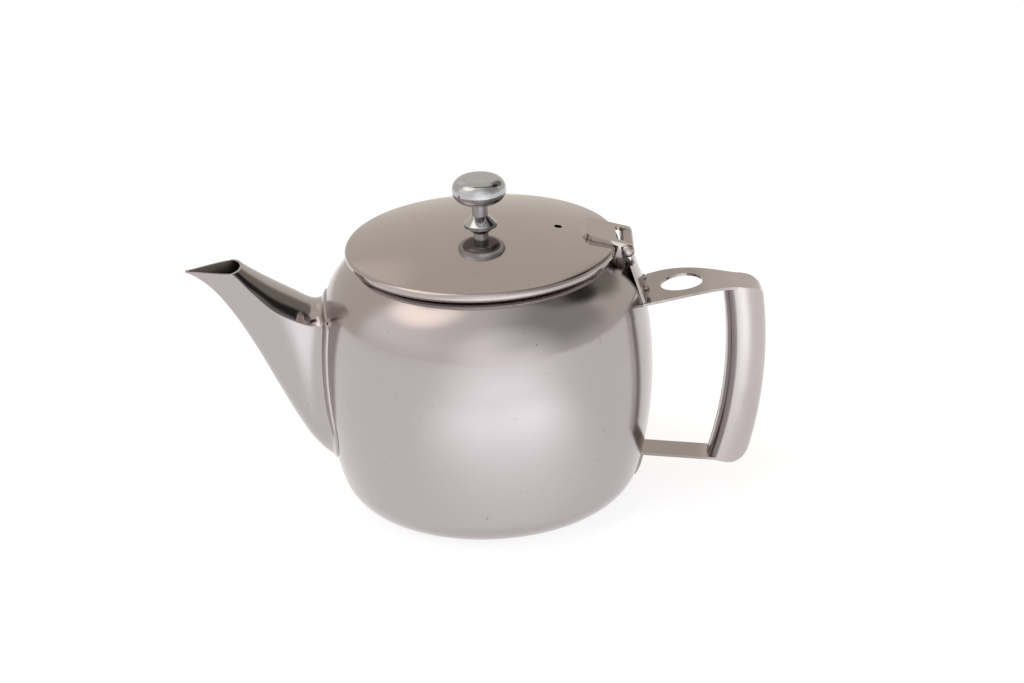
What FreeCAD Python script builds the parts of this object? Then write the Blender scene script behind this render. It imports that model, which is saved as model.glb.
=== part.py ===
import FreeCAD, Part
import math
import os

Vec = FreeCAD.Vector

# A hinged-lid teapot of thin stainless sheet. Lengths are millimetres. The pot's axis is Z,
# the table is Z = 0, the spout points to -X and the handle to +X.

# Sheet thicknesses
body_sheet = 0.8
lid_sheet = 0.8
spout_sheet = 0.8
handle_sheet = 1.0
strap_sheet = 1.3

# Pot body: a drawn barrel with a rounded base, a rounded shoulder and an upright collar
body_radius = 60.0
widest_height = 52.4
side_arc = 141.0
base_corner = 16.6
shoulder_arc = 28.1
shoulder_level = 97.9
neck_bend = 1.2

# Strainer: holes punched in the wall behind the spout
strainer_hole = 4.0
strainer_pitch = 7.0
strainer_height = 48.0
strainer_rows = 5
strainer_hole_count = 3

# Spout: stations from the pot outwards, each with an arched top, two edges, flat sides and a rounded ridge
# (reach past the pot's greatest radius, ridge height, top height, half width, ridge radius, edge radius)
spout_stations = [
    (-10.0, 21.3, 77.2, 15.8, 15.2, 2.0),
    (0.6, 21.9, 77.4, 15.6, 15.0, 2.0),
    (4.2, 26.1, 78.9, 15.2, 14.2, 2.0),
    (8.1, 32.6, 81.1, 14.7, 13.0, 2.0),
    (15.6, 47.3, 85.4, 13.1, 9.6, 2.0),
    (22.6, 61.6, 90.1, 10.5, 6.6, 2.0),
    (29.4, 73.8, 95.2, 7.5, 4.6, 1.8),
    (34.3, 81.0, 97.6, 6.8, 3.6, 1.8),
    (37.9, 85.2, 98.0, 5.8, 3.0, 1.8),
    (41.3, 88.1, 98.0, 4.6, 2.4, 1.6),
    (44.2, 90.0, 98.0, 3.2, 1.7, 1.3),
    (45.7, 90.7, 98.0, 2.2, 1.3, 1.1),
    (46.5, 91.0, 98.0, 1.2, 0.9, 0.9),
]
spout_arch = 39.0
mouth_back_reach = 27.2
mouth_back_height = 92.5
mouth_tip_height = 91.4
flange_width = 2.8

# Handle: one strip, bent and with its middle rolled into a hollow grip
# (reaches are counted from the pot's greatest radius, arm heights from the hinge plate's foot)
arm_root_inset = 3.0
arm_start_rise = -0.44
arm_crown_reach = 17.5
arm_crown_rise = 3.2
arm_end_reach = 34.5
arm_end_rise = 2.1
arm_half_widths = [(-8.0, 12.6), (-2.0, 13.4), (5.0, 14.0), (12.0, 13.0), (19.0, 11.0), (26.5, 8.2)]
arm_hole_radius = 7.6
arm_hole_reach = 11.2
grip_radius = 7.2
grip_clear_reach = 34.0
grip_height = 60.0
grip_bow = 152.0
grip_sweep = 45.0
grip_seam = 0.8
upper_corner = 6.5
lower_corner = 8.0
corner_trim = 0.05
lower_arm_height = 13.4
lower_arm_fall = 3.7
lower_arm_length = 30.0
lower_arm_root = 15.0
lower_arm_width = 12.0
lower_tab_height = 8.1
lower_tab_lap = 1.2

# Hinge plate: the handle's upper end, wrapped on the pot and standing up to the pin
plate_foot_width = 25.0
plate_head_width = 19.0
plate_head_drop = 7.9
plate_foot_drop = 21.5
plate_contact_drop = 18.4
plate_gap = 0.05

# Hinge: a pin level with the lid's bead, through the lid strap's outer knuckles and the plate's middle knuckle
pin_radius = 1.5
pin_clearance = 0.05
knuckle_wall = 0.85
hinge_gap = 0.6
middle_knuckle = 11.8
knuckle_side_gap = 0.3
strap_width = 18.4
pin_head_radius = 2.35
pin_head_height = 1.5
pin_end_play = 0.2

# Lid: a shallow dome with its edge rolled under into a bead
lid_rise = 6.9
lid_gap = 0.35
bead_radius = 1.55
bead_inset = 12.55
bead_drop = 9.23
collar_gap = 0.9
bead_curl = 235.0
vent_radius = 1.45
vent_reach = 27.6

# Lid strap: a leaf standing just off the lid, hinged at the pin, with its front edge bent down onto the dome
strap_length = 15.4
strap_corner = 2.5
strap_clear = 0.9
strap_lip_bend = 50.0
strap_window = 2.4

# Knob, held by a screw from inside the lid
knob_foot_radius = 5.95
knob_foot_height = 3.5
knob_foot_lip = 0.5
knob_stem_radius = 2.85
knob_bun_radius = 9.75
knob_bun_foot = 8.7
knob_bun_height = 9.0
knob_bun_edge = 4.3
screw_radius = 1.5
screw_clearance = 0.05
screw_depth = 8.0
screw_head_radius = 2.8
screw_head_height = 1.9
screw_slot = 0.8
washer_radius = 4.5
washer_thickness = 0.8

# Rivets through the hinge plate and the pot wall
rivet_radius = 0.9
rivet_clearance = 0.03
rivet_head_radius = 1.5
rivet_head_height = 0.7
rivet_spacing = 10.4
rivet_drop = 0.5
rivet_slack = 0.25

# Worked-out places
pot_axis = Vec(0, 0, 1)
hinge_axis = Vec(0, 1, 0)
reach_far = 2 * body_radius
dome_top = shoulder_level + lid_rise
bead_reach = body_radius - bead_inset
dome_arc = (bead_reach ** 2 + bead_drop ** 2 - bead_radius ** 2) / (2 * (bead_drop - bead_radius))
dome_centre = Vec(0, 0, dome_top - dome_arc)
bead_centre = Vec(bead_reach, 0, dome_top - bead_drop)
bead_start = math.degrees(math.atan2(dome_arc - bead_drop, bead_reach))
collar_radius = bead_reach - bead_radius - collar_gap
collar_top = dome_centre.z + math.sqrt((dome_arc - lid_sheet - lid_gap) ** 2 - collar_radius ** 2)
knuckle_radius = pin_radius + pin_clearance + knuckle_wall
pin_reach = bead_reach + bead_radius + hinge_gap + knuckle_radius
pin_point = Vec(pin_reach, 0, bead_centre.z)
plate_head_radius = pin_reach + knuckle_radius - handle_sheet
plate_head = shoulder_level - plate_head_drop
plate_foot = shoulder_level - plate_foot_drop
plate_contact = shoulder_level - plate_contact_drop
rivet_height = plate_contact - rivet_drop
arm_crown = Vec(body_radius + arm_crown_reach, 0, plate_foot + arm_crown_rise)
arm_outer = Vec(body_radius + arm_end_reach, 0, plate_foot + arm_end_rise)
grip_reach = body_radius + grip_clear_reach
lower_arm_inner = Vec(body_radius, 0, lower_arm_height)
lower_arm_outer = Vec(body_radius + lower_arm_length, 0, lower_arm_height - lower_arm_fall)
side_centre = Vec(body_radius - side_arc, 0, widest_height)
corner_reach = side_centre.x + math.sqrt((side_arc - base_corner) ** 2 - (base_corner - widest_height) ** 2)
corner_centre = Vec(corner_reach, 0, base_corner)
corner_angle = math.degrees(math.atan2(base_corner - widest_height, corner_reach - side_centre.x))
shoulder_height = shoulder_level - shoulder_arc
shoulder_rise = shoulder_height - widest_height
shoulder_reach = side_centre.x + math.sqrt((side_arc - shoulder_arc) ** 2 - shoulder_rise ** 2)
shoulder_centre = Vec(shoulder_reach, 0, shoulder_height)
shoulder_angle = math.degrees(math.atan2(shoulder_rise, shoulder_reach - side_centre.x))
neck_reach = collar_radius + neck_bend
neck_rise = math.sqrt((shoulder_arc + neck_bend) ** 2 - (neck_reach - shoulder_reach) ** 2)
neck_centre = Vec(neck_reach, 0, shoulder_height + neck_rise)
neck_angle = math.degrees(math.atan2(neck_rise, neck_reach - shoulder_reach))
contact_rise = plate_contact - shoulder_height
contact_reach = shoulder_reach + math.sqrt((shoulder_arc + plate_gap) ** 2 - contact_rise ** 2)
plate_lean = (contact_reach - plate_head_radius) / (plate_head - plate_contact)
plate_foot_reach = contact_reach + plate_lean * (plate_contact - plate_foot)
arm_inner = Vec(plate_foot_reach - arm_root_inset, 0, plate_foot + arm_start_rise)
bow_centre = Vec(grip_reach - grip_bow, 0, grip_height)


def polar(centre, radius, degrees):
    """Point of the XZ plane at an angle from +X round a centre."""
    angle = math.radians(degrees)
    return Vec(centre.x + radius * math.cos(angle), 0, centre.z + radius * math.sin(angle))


def line(start, end):
    return Part.LineSegment(start, end).toShape()


def arc(centre, radius, start, end):
    """Arc of the XZ plane between two angles, in degrees."""
    through = [polar(centre, radius, angle) for angle in (start, (start + end) / 2, end)]
    return Part.Arc(*through).toShape()


def face_of(edges):
    return Part.Face(Part.Wire(Part.__sortEdges__(edges)))


def turned(edges):
    """Solid of revolution about the pot's axis from a closed outline in the XZ plane."""
    return face_of(edges).revolve(Vec(0, 0, 0), pot_axis, 360)


def polygon(points):
    return Part.Face(Part.makePolygon(points + points[:1]))


def slab(face, width):
    """Solid of an XZ outline, spread evenly to both sides of the middle plane."""
    shape = face.copy()
    shape.translate(Vec(0, -width / 2, 0))
    return shape.extrude(Vec(0, width, 0))


def end_points(edge):
    return edge.valueAt(edge.FirstParameter), edge.valueAt(edge.LastParameter)


def crossing(centre_a, radius_a, centre_b, radius_b):
    """Higher crossing of two circles of the XZ plane."""
    apart = centre_b - centre_a
    along = (apart.Length ** 2 + radius_a ** 2 - radius_b ** 2) / (2 * apart.Length)
    aside = math.sqrt(radius_a ** 2 - along ** 2)
    unit = Vec(apart).normalize()
    normal = Vec(-unit.z, 0, unit.x)
    found = [centre_a + unit * along + normal * side for side in (aside, -aside)]
    return max(found, key=lambda point: point.z)


# Pot body

def wall_arcs(inset):
    """Base corner, side and shoulder, moved inwards by the inset, as three tangent arcs."""
    return [arc(corner_centre, base_corner - inset, -90, corner_angle),
            arc(side_centre, side_arc - inset, corner_angle, shoulder_angle),
            arc(shoulder_centre, shoulder_arc - inset, shoulder_angle, neck_angle)]


def body_outline(inset):
    """Half outline of the pot from the middle of the base to the top of the collar."""
    collar = collar_radius - inset
    return ([line(Vec(0, 0, inset), Vec(corner_reach, 0, inset))] + wall_arcs(inset) +
            [arc(neck_centre, neck_bend + inset, neck_angle + 180, 180),
             line(Vec(collar, 0, neck_centre.z), Vec(collar, 0, collar_top))])


def filled_body():
    """The whole space inside the pot's outer surface, up to the collar's top."""
    top = Vec(0, 0, collar_top)
    return turned(body_outline(0) + [line(Vec(collar_radius, 0, collar_top), top), line(top, Vec(0, 0, 0))])


def wall_band(gap, thickness):
    """Ring lying round the pot's wall, from a gap outside it to the gap plus a thickness."""
    inner = wall_arcs(-gap)
    outer = wall_arcs(-gap - thickness)
    low = line(end_points(inner[0])[0], end_points(outer[0])[0])
    high = line(end_points(inner[-1])[1], end_points(outer[-1])[1])
    return turned(inner + outer + [low, high])


def shoulder_point(height):
    """Distance from the axis of the wall's outer side at a height on the shoulder."""
    return shoulder_reach + math.sqrt(shoulder_arc ** 2 - (height - shoulder_height) ** 2)


def strainer_holes():
    """Staggered rows of holes through the wall behind the spout."""
    holes = []
    row_step = strainer_pitch * math.sqrt(3) / 2
    for row in range(strainer_rows):
        count = strainer_hole_count - row % 2
        height = strainer_height + (row - (strainer_rows - 1) / 2) * row_step
        for place in range(count):
            aside = (place - (count - 1) / 2) * strainer_pitch
            start = Vec(-reach_far, aside, height)
            holes.append(Part.makeCylinder(strainer_hole / 2, reach_far, start, Vec(1, 0, 0)))
    return holes


def make_pot_body():
    rim = line(Vec(collar_radius, 0, collar_top), Vec(collar_radius - body_sheet, 0, collar_top))
    core = line(Vec(0, 0, 0), Vec(0, 0, body_sheet))
    shell = turned(body_outline(0) + body_outline(body_sheet) + [rim, core])
    return shell.cut(strainer_holes() + rivet_shanks(rivet_radius + rivet_clearance))


# Spout

def spout_section(station, inset, lift):
    """Arched top, edge circles tangent to it, flat sides and a ridge circle, in the plane across X."""
    reach, ridge, top, half_width, ridge_radius, edge_radius = station
    across = -body_radius - reach
    slope = math.radians(spout_arch)
    edge_reach = half_width - edge_radius
    edge_fall = edge_reach * (1 - math.cos(slope)) / math.sin(slope)
    edge_centre = Vec(across, edge_reach, top - edge_radius - edge_fall)
    ridge_centre = Vec(across, 0, ridge + ridge_radius + lift)
    edge_size = edge_radius - inset
    ridge_size = ridge_radius - inset
    span = ridge_centre - edge_centre
    unit = Vec(span).normalize()
    lean = (edge_size - ridge_size) / span.Length
    normal = unit * lean + Vec(0, -unit.z, unit.y) * math.sqrt(1 - lean ** 2)
    arch_normal = Vec(0, math.sin(slope), math.cos(slope))
    crown = Vec(across, 0, top - inset)
    brow = edge_centre + arch_normal * edge_size
    bend = edge_centre + (normal + arch_normal).normalize() * edge_size
    shoulder = edge_centre + normal * edge_size
    hip = ridge_centre + normal * ridge_size
    keel = ridge_centre - Vec(0, 0, ridge_size)

    def mirror(point):
        return Vec(point.x, -point.y, point.z)

    edges = [Part.Arc(mirror(brow), crown, brow), Part.Arc(brow, bend, shoulder),
             Part.LineSegment(shoulder, hip), Part.Arc(hip, keel, mirror(hip)),
             Part.LineSegment(mirror(hip), mirror(shoulder)),
             Part.Arc(mirror(shoulder), mirror(bend), mirror(brow))]
    return Part.Wire([edge.toShape() for edge in edges])


def ridge_lift(index):
    """Extra height of the inner ridge, so that the slanting ridge keeps its sheet thickness."""
    before = spout_stations[max(index - 1, 0)]
    after = spout_stations[min(index + 1, len(spout_stations) - 1)]
    slope = (after[1] - before[1]) / (after[0] - before[0])
    return spout_sheet * (math.sqrt(1 + slope ** 2) - 1)


def spout_core():
    """The spout's hollow, from inside the pot to just behind the lip."""
    wires = [spout_section(station, spout_sheet, ridge_lift(index))
             for index, station in enumerate(spout_stations[:-1])]
    return Part.makeLoft(wires, True, False)


def mouth_cut():
    """Everything above the pouring mouth's plane."""
    mouth_back = Vec(-body_radius - mouth_back_reach, 0, mouth_back_height)
    tip = Vec(-body_radius - spout_stations[-1][0], 0, mouth_tip_height)
    behind = mouth_back - (tip - mouth_back) / 2
    beyond = tip + (tip - mouth_back)
    ceiling = Vec(0, 0, body_radius)
    return slab(polygon([behind, beyond, beyond + ceiling, behind + ceiling]), body_radius)


def make_spout():
    outside = Part.makeLoft([spout_section(station, 0, 0) for station in spout_stations], True, False)
    base = Part.Face(spout_section(spout_stations[1], -flange_width, 0))
    base.translate(Vec(-body_radius / 2, 0, 0))
    flange = base.extrude(Vec(body_radius, 0, 0)).common(wall_band(0, spout_sheet))
    shell = outside.cut(filled_body()).cut(mouth_cut())
    return shell.fuse(flange).cut(spout_core()).removeSplitter()


# Handle

def handle_outline(inset):
    """Side outline of the arms and the grip's corners, moved inwards by the inset."""
    arm = Part.Arc(arm_inner, arm_crown, arm_outer).toShape().Curve
    arm_centre = arm.Center
    arm_radius = arm.Radius - inset
    back_radius = grip_bow + grip_radius + corner_trim - inset
    upper_radius = upper_corner - inset
    upper_centre = crossing(arm_centre, arm_radius - upper_radius, bow_centre, back_radius - upper_radius)
    lower_run = (lower_arm_outer - lower_arm_inner).normalize()
    lower_up = Vec(-lower_run.z, 0, lower_run.x)
    lower_radius = lower_corner - inset
    lower_root = lower_arm_inner - lower_run * lower_arm_root
    rail = lower_arm_inner + lower_up * lower_corner
    start = rail - bow_centre
    along = start.dot(lower_run)
    reach = math.sqrt(along ** 2 - start.dot(start) + (back_radius - lower_radius) ** 2) - along
    lower_centre = rail + lower_run * reach
    arm_end = arm_centre + (upper_centre - arm_centre).normalize() * arm_radius
    back_top = bow_centre + (upper_centre - bow_centre).normalize() * back_radius
    back_foot = bow_centre + (lower_centre - bow_centre).normalize() * back_radius
    lower_end = lower_centre - lower_up * lower_radius
    arm_start = arm_centre + (arm_inner - arm_centre).normalize() * arm_radius
    arm_middle = arm_centre + (arm_crown - arm_centre).normalize() * arm_radius
    upper_bend = ((arm_end - upper_centre) + (back_top - upper_centre)).normalize() * upper_radius
    lower_bend = ((lower_end - lower_centre) + (back_foot - lower_centre)).normalize() * lower_radius
    upper = [Part.Arc(arm_start, arm_middle, arm_end).toShape(),
             Part.Arc(arm_end, upper_centre + upper_bend, back_top).toShape()]
    lower = [Part.Arc(back_foot, lower_centre + lower_bend, lower_end).toShape(),
             line(lower_end, lower_root + lower_up * inset)]
    return upper, lower


def grip_space(inset):
    """Bowed round bar, trimmed at both ends by the bent corners of the handle."""
    section = Part.Face(Part.Wire(Part.makeCircle(grip_radius - inset, Vec(grip_reach, 0, grip_height))))
    bar = section.revolve(bow_centre, hinge_axis, grip_sweep)
    bar = bar.fuse(section.revolve(bow_centre, hinge_axis, -grip_sweep))
    upper, lower = handle_outline(inset)
    top = end_points(upper[-1])[1]
    foot = end_points(lower[0])[0]
    beyond = Vec(grip_radius, 0, 0)
    sides = [line(top, top + beyond), line(top + beyond, foot + beyond), line(foot + beyond, foot),
             line(end_points(lower[-1])[1], end_points(upper[0])[0])]
    return bar.common(slab(face_of(upper + sides + lower), 4 * grip_radius))


def arm_plan(points, tip_reach, tip_half):
    """Plan outline of an arm: two smooth edges through half widths, and a straight end over the grip."""
    near = [Vec(body_radius + reach, -half, 0) for reach, half in points] + [Vec(tip_reach, -tip_half, 0)]
    far = [Vec(point.x, -point.y, 0) for point in near]
    edges = []
    for side in (near, far):
        curve = Part.BSplineCurve()
        curve.interpolate(side)
        edges.append(curve.toShape())
    edges.append(line(near[0], far[0]))
    edges.append(line(near[-1], far[-1]))
    return face_of(edges)


def upper_arm():
    outer, _ = handle_outline(0)
    inner, _ = handle_outline(handle_sheet)
    ends = [line(end_points(outer[0])[0], end_points(inner[0])[0]),
            line(end_points(outer[0])[1], end_points(inner[0])[1])]
    sheet = slab(face_of([outer[0], inner[0]] + ends), plate_foot_width * 2)
    plan = arm_plan(arm_half_widths, grip_reach, grip_radius - handle_sheet / 2)
    hole = Part.makeCylinder(arm_hole_radius, reach_far, Vec(body_radius + arm_hole_reach, 0, 0))
    return sheet.common(plan.extrude(Vec(0, 0, reach_far))).cut(hole)


def lower_arm():
    _, outer = handle_outline(0)
    _, inner = handle_outline(handle_sheet)
    ends = [line(end_points(outer[1])[0], end_points(inner[1])[0]),
            line(end_points(outer[1])[1], end_points(inner[1])[1])]
    arm = slab(face_of([outer[1], inner[1]] + ends), lower_arm_width)
    tab_corner = Vec(0, -lower_arm_width / 2, lower_arm_inner.z + lower_tab_lap - lower_tab_height)
    patch = Part.makeBox(reach_far, lower_arm_width, lower_tab_height, tab_corner)
    tab = wall_band(plate_gap, handle_sheet).common(patch)
    return arm.cut(turned_wall(plate_gap)).fuse(tab)


def turned_wall(gap):
    """Filled pot with its wall moved out by a gap, up to the shoulder's end."""
    arcs = wall_arcs(-gap)
    low = end_points(arcs[0])[0]
    high = end_points(arcs[-1])[1]
    axis_low = Vec(0, 0, low.z)
    axis_high = Vec(0, 0, high.z)
    return turned(arcs + [line(axis_low, low), line(high, axis_high), line(axis_high, axis_low)])


def plate_sheet():
    """Conical sheet round the pot's axis: on the wall at its foot, leaving the shoulder above it."""
    slant = math.hypot(plate_head - plate_foot, plate_foot_reach - plate_head_radius)
    thickness = handle_sheet * slant / (plate_head - plate_foot)
    corners = [Vec(plate_foot_reach, 0, plate_foot), Vec(plate_foot_reach + thickness, 0, plate_foot),
               Vec(plate_head_radius + thickness, 0, plate_head), Vec(plate_head_radius, 0, plate_head)]
    return polygon(corners).revolve(Vec(0, 0, 0), pot_axis, 360)


def hinge_plate():
    foot = plate_foot_width / 2
    head = plate_head_width / 2
    front = polygon([Vec(0, -foot, plate_foot), Vec(0, foot, plate_foot),
                     Vec(0, head, plate_head), Vec(0, -head, plate_head)])
    plate = plate_sheet().common(front.extrude(Vec(reach_far, 0, 0))).cut(turned_wall(plate_gap))
    outer = pin_reach + knuckle_radius
    neck = polygon([Vec(outer, 0, pin_point.z), Vec(outer - handle_sheet, 0, pin_point.z),
                    Vec(plate_head_radius, 0, plate_head - handle_sheet),
                    Vec(plate_head_radius + handle_sheet, 0, plate_head - handle_sheet)])
    near_end = pin_point - hinge_axis * middle_knuckle / 2
    tube = Part.makeCylinder(knuckle_radius, middle_knuckle, near_end, hinge_axis)
    return plate.fuse([slab(neck, middle_knuckle), tube]).cut(pin_bore())


def make_handle():
    grip = grip_space(0).cut(grip_space(handle_sheet))
    grip = grip.cut(slab(face_of(seam_window()), grip_seam))
    arm = upper_arm().cut(turned_wall(plate_gap))
    handle = grip.fuse([arm, lower_arm(), hinge_plate()])
    return handle.cut(rivet_shanks(rivet_radius + rivet_clearance)).removeSplitter()


def seam_window():
    """Region in front of the grip's middle line, between the two arms, that the seam is cut in."""
    upper, lower = handle_outline(2 * handle_sheet)
    top = end_points(upper[0])
    foot = end_points(lower[-1])
    return [upper[0], line(top[1], foot[0]), lower[-1], line(foot[1], top[0])]


# Hinge pin and rivets

def pin_bore():
    radius = pin_radius + pin_clearance
    return Part.makeCylinder(radius, strap_width * 2, pin_point - hinge_axis * strap_width, hinge_axis)


def dome_head(base, axis, radius, height):
    """Low domed head: a ball cut flat, standing on a base point."""
    ball = (radius ** 2 + height ** 2) / (2 * height)
    sphere = Part.makeSphere(ball, base + axis * (height - ball))
    return sphere.common(Part.makeCylinder(radius * 2, height, base, axis))


def make_hinge_pin():
    reach = strap_width / 2 + pin_end_play
    pin = Part.makeCylinder(pin_radius, reach * 2, pin_point - hinge_axis * reach, hinge_axis)
    for side in (-1, 1):
        outward = hinge_axis * side
        pin = pin.fuse(dome_head(pin_point + outward * reach, outward, pin_head_radius, pin_head_height))
    return pin.removeSplitter()


def rivet_frames():
    """Centre on the wall's middle, and outward direction, of each rivet."""
    contact = shoulder_point(rivet_height)
    turn = math.degrees(math.asin(rivet_spacing / 2 / contact))
    tilt = math.atan2(rivet_height - shoulder_height, contact - shoulder_reach)
    frames = []
    for side in (-1, 1):
        angle = math.radians(turn * side)
        outward = Vec(math.cos(tilt) * math.cos(angle), math.cos(tilt) * math.sin(angle), math.sin(tilt))
        frames.append((Vec(contact * math.cos(angle), contact * math.sin(angle), rivet_height), outward))
    return frames


def rivet_shanks(radius):
    length = 4 * (handle_sheet + body_sheet)
    return [Part.makeCylinder(radius, length, point - outward * length / 2, outward)
            for point, outward in rivet_frames()]


def make_handle_rivets():
    rivets = []
    outer = handle_sheet + rivet_slack
    for point, outward in rivet_frames():
        inner = point - outward * (body_sheet + rivet_slack)
        shank = Part.makeCylinder(rivet_radius, body_sheet + handle_sheet + 2 * rivet_slack, inner, outward)
        heads = [dome_head(point + outward * outer, outward, rivet_head_radius, rivet_head_height),
                 dome_head(inner, outward * -1, rivet_head_radius, rivet_head_height)]
        rivets.append(shank.fuse(heads).removeSplitter())
    return Part.makeCompound(rivets)


# Lid

def filled_lid():
    """The whole space under the dome's outer surface, down to the foot of the bead."""
    foot = bead_centre - pot_axis * bead_radius
    axis_foot = Vec(0, 0, foot.z)
    return turned([arc(dome_centre, dome_arc, 90, bead_start), arc(bead_centre, bead_radius, bead_start, -90),
                   line(foot, axis_foot), line(axis_foot, Vec(0, 0, dome_top))])


def make_lid():
    under_radius = dome_arc - lid_sheet
    curl_radius = bead_radius - lid_sheet
    curl_end = bead_start - bead_curl
    edges = [arc(dome_centre, dome_arc, 90, bead_start),
             arc(bead_centre, bead_radius, bead_start, curl_end),
             line(polar(bead_centre, bead_radius, curl_end), polar(bead_centre, curl_radius, curl_end)),
             arc(bead_centre, curl_radius, curl_end, bead_start),
             arc(dome_centre, under_radius, bead_start, 90),
             line(Vec(0, 0, dome_top - lid_sheet), Vec(0, 0, dome_top))]
    vent = Part.makeCylinder(vent_radius, dome_top, Vec(vent_reach, 0, 0))
    screw_hole = Part.makeCylinder(screw_radius + screw_clearance, reach_far)
    return turned(edges).cut([vent, screw_hole])


def strap_slope():
    """Tilt in degrees that brings the leaf's front lower edge to its clearance from the dome."""
    under = knuckle_radius - strap_sheet
    across = pin_point - dome_centre
    cosine_part = across.z * under - across.x * strap_length
    sine_part = across.x * under + across.z * strap_length
    level = ((dome_arc + strap_clear) ** 2 - across.Length ** 2 - strap_length ** 2 - under ** 2) / 2
    turn = math.atan2(sine_part, cosine_part) - math.acos(level / math.hypot(sine_part, cosine_part))
    return math.degrees(turn)


def strap_lip():
    """Bent-down front edge of the leaf in the leaf's flat frame, long enough to reach into the dome."""
    bend = math.radians(strap_lip_bend)
    run = Vec(-math.cos(bend), 0, -math.sin(bend)) * (strap_sheet + strap_clear) * 2
    inward = Vec(math.sin(bend), 0, -math.cos(bend)) * strap_sheet
    corner = Vec(-strap_length, 0, knuckle_radius)
    outline = polygon([corner, corner + run, corner + run + inward, corner + inward])
    return slab(outline, strap_width - 2 * strap_corner)


def make_lid_hinge_strap():
    """Leaf in its own flat frame at the pin, then tipped to lie along the dome."""
    half = strap_width / 2
    side = Part.makeBox(strap_length, strap_width, strap_sheet,
                        Vec(-strap_length, -half, knuckle_radius - strap_sheet))
    front = [edge for edge in side.Edges if edge.BoundBox.XMax < -strap_length / 2]
    corners = [edge for edge in front if edge.BoundBox.YLength < strap_sheet]
    upright = [edge for edge in corners if edge.BoundBox.ZLength > strap_sheet / 2]
    leaf = side.makeFillet(strap_corner, upright).fuse(strap_lip())
    leaf = leaf.fuse(Part.makeCylinder(knuckle_radius, strap_width, Vec(0, -half, 0), hinge_axis))
    window = middle_knuckle + 2 * knuckle_side_gap
    reach = knuckle_radius + strap_window
    leaf = leaf.cut(Part.makeBox(2 * reach, window, 2 * reach, Vec(-reach, -window / 2, -reach)))
    leaf.rotate(Vec(0, 0, 0), hinge_axis, strap_slope())
    leaf.translate(pin_point)
    return leaf.cut([pin_bore(), filled_lid()]).removeSplitter()


# Knob and its fixing

def make_knob():
    foot = dome_top
    bun_low = foot + knob_bun_foot
    bun_high = bun_low + knob_bun_height
    edge_reach = knob_bun_radius - knob_bun_edge
    low_edge = Vec(edge_reach, 0, bun_low + knob_bun_edge)
    high_edge = Vec(edge_reach, 0, bun_high - knob_bun_edge)
    lip = Vec(knob_foot_radius, 0, foot + knob_foot_lip)
    stem_foot = Vec(knob_stem_radius, 0, foot + knob_foot_height)
    edges = [line(Vec(0, 0, foot), Vec(knob_foot_radius, 0, foot)),
             line(Vec(knob_foot_radius, 0, foot), lip),
             line(lip, stem_foot),
             line(stem_foot, Vec(knob_stem_radius, 0, bun_low)),
             line(Vec(knob_stem_radius, 0, bun_low), Vec(edge_reach, 0, bun_low)),
             arc(low_edge, knob_bun_edge, -90, 0),
             line(Vec(knob_bun_radius, 0, low_edge.z), Vec(knob_bun_radius, 0, high_edge.z)),
             arc(high_edge, knob_bun_edge, 0, 90),
             line(Vec(edge_reach, 0, bun_high), Vec(0, 0, bun_high)),
             line(Vec(0, 0, bun_high), Vec(0, 0, foot))]
    bore = Part.makeCylinder(screw_radius + screw_clearance, screw_depth, Vec(0, 0, foot))
    return turned(edges).cut(bore)


def washer_level():
    """Top of the flat washer, whose rim meets the dome's hollow underside."""
    under = dome_arc - lid_sheet
    return dome_centre.z + math.sqrt(under ** 2 - washer_radius ** 2)


def make_knob_washer():
    base = Vec(0, 0, washer_level() - washer_thickness)
    disc = Part.makeCylinder(washer_radius, washer_thickness, base)
    return disc.cut(Part.makeCylinder(screw_radius + screw_clearance, washer_thickness, base))


def make_knob_screw():
    seat = washer_level() - washer_thickness
    length = dome_top + screw_depth - screw_clearance - seat
    shank = Part.makeCylinder(screw_radius, length, Vec(0, 0, seat))
    head = Part.makeCylinder(screw_head_radius, screw_head_height, Vec(0, 0, seat - screw_head_height))
    slot_depth = screw_head_height / 2
    slot = Part.makeBox(2 * screw_head_radius, screw_slot, slot_depth,
                        Vec(-screw_head_radius, -screw_slot / 2, seat - screw_head_height))
    return shank.fuse(head).cut(slot).removeSplitter()


pieces = {
    "pot_body": make_pot_body(),
    "spout": make_spout(),
    "handle": make_handle(),
    "handle_rivets": make_handle_rivets(),
    "hinge_pin": make_hinge_pin(),
    "lid": make_lid(),
    "lid_hinge_strap": make_lid_hinge_strap(),
    "knob": make_knob(),
    "knob_screw": make_knob_screw(),
    "knob_washer": make_knob_washer(),
}

os.makedirs("parts", exist_ok=True)
for name, shape in pieces.items():
    box = shape.BoundBox
    print(name, "solids", len(shape.Solids), "valid", shape.isValid(), "volume", round(shape.Volume, 1),
          "x", round(box.XMin, 1), round(box.XMax, 1), "y", round(box.YMin, 1), round(box.YMax, 1),
          "z", round(box.ZMin, 1), round(box.ZMax, 1))
    shape.exportStep("parts/" + name + ".step")
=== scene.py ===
import math
import bmesh
import bpy
import numpy as np
from mathutils import Matrix, Vector

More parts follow.
